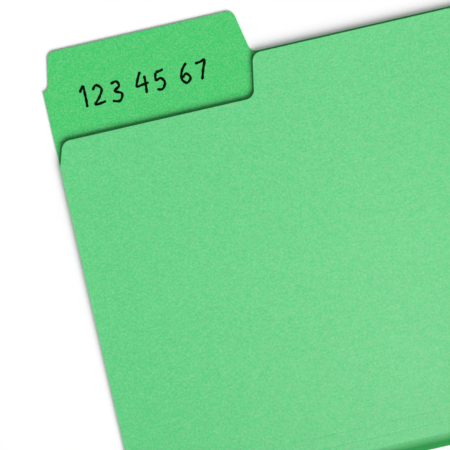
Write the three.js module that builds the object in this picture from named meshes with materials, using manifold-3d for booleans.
// A letter size top tab file folder of heavy card, closed and lying on its rear leaf.
// Millimetres. +X runs along the bottom fold, +Y towards the tab, +Z up off the table.
// The card is one blank, divided here at its creases: a rear leaf with the tab, the rolled
// bottom crease, three narrow base strips between pressed scores, and a front leaf that is
// undercut below the tab. A clear write-and-erase film covers the tab.

import * as THREE from 'three';
import { mergeVertices } from 'three/addons/utils/BufferGeometryUtils.js';
import Module from 'manifold-3d';

const wasm = await Module();
wasm.setup();

const radians = THREE.MathUtils.degToRad;

// Driving dimensions of both leaves
const leafWidth = 295.3;
const cardThickness = 0.36;
const frontHeight = 217.3;
const rearReveal = 1.1;
const outerCornerRadius = 3;

// The tab, which is part of the rear leaf
const tabHeight = 22.9;
const tabInset = 6.5;
const tabTopLength = 97.1;
const tabSideLean = radians(11);
const tabCornerRadius = 4.5;
const tabFootRadius = 4;
const shoulderRise = 3.4;

// The undercut, which bares the tab through the front leaf
const undercutDepth = 22.3;
const stepLean = radians(10.5);
const stepOffset = 0.25;
const stepFootRadius = 5;
const stepTopRadius = 5;
const cheekLean = radians(18);
const cheekDrop = 13;
const cheekRadius = 5.2;

// The bottom crease, the scores and the spring of the closed front leaf
const foldGap = 0.5;
const leafLift = 2;
const creaseClearance = 0.3;
const scorePitch = 6.35;
const stripCount = 3;
const grooveWidth = 0.9;
const grooveDepth = 0.12;

// The write-and-erase film on the tab
const filmThickness = 0.05;
const filmMargin = 0.4;

// Smoothness: steps in each round corner
const arcSteps = 12;

// Heights above the bottom fold, and the places of the slanted edges
const rearHeight = frontHeight + rearReveal;
const folderHeight = rearHeight + tabHeight;
const shoulderHeight = rearHeight + shoulderRise;
const undercutHeight = frontHeight - undercutDepth;
const tabRight = tabInset + tabTopLength;

// The crease is a half tube: its middle is the line that the leaves turn on
const creaseInner = foldGap / 2;
const creaseOuter = creaseInner + cardThickness;
const creaseCentre = creaseOuter;
const leafStart = creaseCentre + creaseClearance;
const leafRise = Math.atan2(leafLift - foldGap, undercutHeight - creaseCentre);

const frontCard = new THREE.MeshStandardMaterial({ color: 0x6fd48b, roughness: 0.85, metalness: 0 });
const rearCard = new THREE.MeshStandardMaterial({ color: 0x5acd77, roughness: 0.85, metalness: 0 });
const tabFilm = new THREE.MeshStandardMaterial({ color: 0x56cb74, roughness: 0.45, metalness: 0 });

// Goes on along an outline to a corner and round it by an arc that touches both sides.
function roundCorner(shape, before, corner, after, radius) {
  const back = before.clone().sub(corner).normalize();
  const ahead = after.clone().sub(corner).normalize();
  const half = back.angleTo(ahead) / 2;
  const reach = radius / Math.tan(half);
  const inward = back.clone().add(ahead).normalize().multiplyScalar(radius / Math.sin(half));
  const centre = corner.clone().add(inward);
  const start = back.clone().multiplyScalar(reach).add(corner).sub(centre);
  const end = ahead.clone().multiplyScalar(reach).add(corner).sub(centre);
  const clockwise = back.cross(ahead) > 0;
  shape.absarc(centre.x, centre.y, radius, start.angle(), end.angle(), clockwise);
}

// The tab's two slanted sides, drawn in by a margin: each a top corner and a point at a height.
function tabSides(margin, footHeight) {
  const top = folderHeight - margin;
  const slant = margin / Math.cos(tabSideLean);
  const spread = (height) => (folderHeight - height) * Math.tan(tabSideLean);
  return {
    leftTop: new THREE.Vector2(tabInset + slant - spread(top), top),
    leftFoot: new THREE.Vector2(tabInset + slant - spread(footHeight), footHeight),
    rightTop: new THREE.Vector2(tabRight - slant + spread(top), top),
    rightFoot: new THREE.Vector2(tabRight - slant + spread(footHeight), footHeight),
  };
}

// Goes down the tab's left side and round the hollow shoulder that runs out at an upright edge.
function addShoulder(shape, margin) {
  const radius = tabFootRadius + margin;
  const centreY = shoulderHeight + tabFootRadius;
  const touchY = centreY - radius * Math.sin(tabSideLean);
  const touchX = tabSides(margin, touchY).leftFoot.x;
  const centreX = touchX - radius * Math.cos(tabSideLean);
  const endAngle = -Math.acos((margin - centreX) / radius);
  shape.absarc(centreX, centreY, radius, -tabSideLean, endAngle, true);
}

// The rear leaf's outline: its straight body, the step up to the tab, and the tab.
function rearOutline() {
  const sides = tabSides(0, rearHeight);
  const bottomRight = new THREE.Vector2(leafWidth, leafStart);
  const topRight = new THREE.Vector2(leafWidth, rearHeight);
  const shape = new THREE.Shape();
  shape.moveTo(0, leafStart);
  shape.lineTo(leafWidth, leafStart);
  roundCorner(shape, bottomRight, topRight, sides.rightFoot, outerCornerRadius);
  roundCorner(shape, topRight, sides.rightFoot, sides.rightTop, tabFootRadius);
  roundCorner(shape, sides.rightFoot, sides.rightTop, sides.leftTop, tabCornerRadius);
  roundCorner(shape, sides.rightTop, sides.leftTop, sides.leftFoot, tabCornerRadius);
  addShoulder(shape, 0);
  return shape;
}

// The step at the undercut's right end, which runs up beside the foot of the tab's right side.
function stepCorners() {
  const tabFoot = tabSides(0, frontHeight).rightFoot;
  const top = new THREE.Vector2(tabFoot.x + stepOffset, frontHeight);
  const foot = new THREE.Vector2(top.x - undercutDepth * Math.tan(stepLean), undercutHeight);
  return { top, foot };
}

// The film's outline: the field of the tab that the closed front leaf leaves bare.
function filmOutline() {
  const bottom = undercutHeight + filmMargin;
  const sides = tabSides(filmMargin, frontHeight);
  const topRadius = tabCornerRadius - filmMargin;
  const bottomLeft = new THREE.Vector2(filmMargin, bottom);
  const bottomRight = new THREE.Vector2(stepCorners().foot.x - filmMargin / Math.cos(stepLean), bottom);
  const shape = new THREE.Shape();
  addShoulder(shape, filmMargin);
  shape.lineTo(bottomLeft.x, bottomLeft.y);
  roundCorner(shape, bottomLeft, bottomRight, sides.rightFoot, stepFootRadius - filmMargin);
  shape.lineTo(sides.rightFoot.x, sides.rightFoot.y);
  roundCorner(shape, sides.rightFoot, sides.rightTop, sides.leftTop, topRadius);
  roundCorner(shape, sides.rightTop, sides.leftTop, sides.leftFoot, topRadius);
  return shape;
}

// The front leaf's outline: straight up to its top edge, and cut away below the tab.
function frontOutline(bottom) {
  const bottomRight = new THREE.Vector2(leafWidth, bottom);
  const topRight = new THREE.Vector2(leafWidth, frontHeight);
  const step = stepCorners();
  const cheekTop = new THREE.Vector2(cheekDrop * Math.tan(cheekLean), undercutHeight);
  const cheekFoot = new THREE.Vector2(0, undercutHeight - cheekDrop);
  const shape = new THREE.Shape();
  shape.moveTo(0, bottom);
  shape.lineTo(leafWidth, bottom);
  roundCorner(shape, bottomRight, topRight, step.top, outerCornerRadius);
  roundCorner(shape, topRight, step.top, step.foot, stepTopRadius);
  roundCorner(shape, step.top, step.foot, cheekTop, stepFootRadius);
  roundCorner(shape, step.foot, cheekTop, cheekFoot, cheekRadius);
  shape.lineTo(cheekFoot.x, cheekFoot.y);
  return shape;
}

// A sheet cut to an outline that is drawn from above.
function cutSheet(outline, thickness) {
  return new THREE.ExtrudeGeometry(outline, {
    depth: thickness,
    bevelEnabled: false,
    curveSegments: arcSteps,
  });
}

// A strip as long as the fold, from a section drawn in Y and Z.
function foldLongStrip(section) {
  const geometry = new THREE.ExtrudeGeometry(section, {
    depth: leafWidth,
    bevelEnabled: false,
    curveSegments: arcSteps,
  });
  const alongX = new THREE.Matrix4().makeBasis(
    new THREE.Vector3(0, 1, 0),
    new THREE.Vector3(0, 0, 1),
    new THREE.Vector3(1, 0, 0),
  );
  return geometry.applyMatrix4(alongX);
}

function named(name, geometry, material) {
  const mesh = new THREE.Mesh(geometry, material);
  mesh.name = name;
  return mesh;
}

function solidOf(geometry) {
  const bare = geometry.clone();
  bare.deleteAttribute('normal');
  bare.deleteAttribute('uv');
  const merged = mergeVertices(bare, 1e-4);
  return new wasm.Manifold(new wasm.Mesh({
    numProp: 3,
    vertProperties: new Float32Array(merged.attributes.position.array),
    triVerts: new Uint32Array(merged.index.array),
  }));
}

function geometryOf(solid) {
  const mesh = solid.getMesh();
  const geometry = new THREE.BufferGeometry();
  geometry.setAttribute('position', new THREE.BufferAttribute(mesh.vertProperties, 3));
  geometry.setIndex(new THREE.BufferAttribute(mesh.triVerts, 1));
  geometry.computeVertexNormals();
  return geometry;
}

function rearPanel() {
  return named('rear_panel', cutSheet(rearOutline(), cardThickness), rearCard);
}

function writingFilm() {
  const film = named('tab_film', cutSheet(filmOutline(), filmThickness), tabFilm);
  film.position.z = cardThickness;
  return film;
}

// The card where it rolls over from the rear leaf to the front: half a tube along the fold.
function bottomCrease() {
  const from = -Math.PI / 2;
  const to = -3 * Math.PI / 2 + leafRise;
  const section = new THREE.Shape();
  section.absarc(0, 0, creaseOuter, from, to, true);
  section.absarc(0, 0, creaseInner, to, from, false);
  const crease = named('bottom_crease', foldLongStrip(section), frontCard);
  crease.position.set(0, creaseCentre, creaseCentre);
  return crease;
}

// Half of a pressed groove is taken off each upper edge that meets a score.
const grooveHalf = (grooveWidth - creaseClearance) / 2;

// One base strip between two scores, measured up the leaf from the fold.
function baseStrip(index) {
  const low = (index === 0 ? leafStart : index * scorePitch + creaseClearance / 2) - creaseCentre;
  const high = (index + 1) * scorePitch - creaseClearance / 2 - creaseCentre;
  const groovedLow = index === 0 ? 0 : 1;
  const section = new THREE.Shape();
  section.moveTo(low, creaseInner);
  section.lineTo(high, creaseInner);
  section.lineTo(high, creaseOuter - grooveDepth);
  section.lineTo(high - grooveHalf, creaseOuter);
  section.lineTo(low + groovedLow * grooveHalf, creaseOuter);
  if (groovedLow) {
    section.lineTo(low, creaseOuter - grooveDepth);
  }
  return named(`base_strip_${index + 1}`, foldLongStrip(section), frontCard);
}

// The wedge that presses the last groove is longer than the fold by this factor.
const wedgeSpan = 1.1;

// The front leaf above the last score, with its half of that score's groove pressed in.
function frontPanel() {
  const bottom = stripCount * scorePitch + creaseClearance / 2;
  const sheet = cutSheet(frontOutline(bottom), cardThickness);
  const wedge = new THREE.Shape();
  wedge.moveTo(bottom - grooveHalf, cardThickness - 2 * grooveDepth);
  wedge.lineTo(bottom + 2 * grooveHalf, cardThickness + grooveDepth);
  wedge.lineTo(bottom - grooveHalf, cardThickness + grooveDepth);
  const spare = (wedgeSpan - 1) / 2 * leafWidth;
  const tool = foldLongStrip(wedge).scale(wedgeSpan, 1, 1).translate(-spare, 0, 0);
  const pressed = geometryOf(solidOf(sheet).subtract(solidOf(tool)));
  const panel = named('front_panel', pressed, frontCard);
  panel.position.set(0, -creaseCentre, creaseInner);
  return panel;
}

// All that turns on the fold, sprung open a little as a new folder lies.
const frontGroup = new THREE.Group();
frontGroup.position.set(0, creaseCentre, creaseCentre);
frontGroup.rotation.x = leafRise;
for (let index = 0; index < stripCount; index += 1) {
  frontGroup.add(baseStrip(index));
}
frontGroup.add(frontPanel());

// The folder's own corner is the left end of the bottom fold; the origin is below its middle.
const folder = new THREE.Group();
folder.position.set(-leafWidth / 2, -folderHeight / 2, 0);
folder.add(rearPanel(), writingFilm(), bottomCrease(), frontGroup);

export default folder;
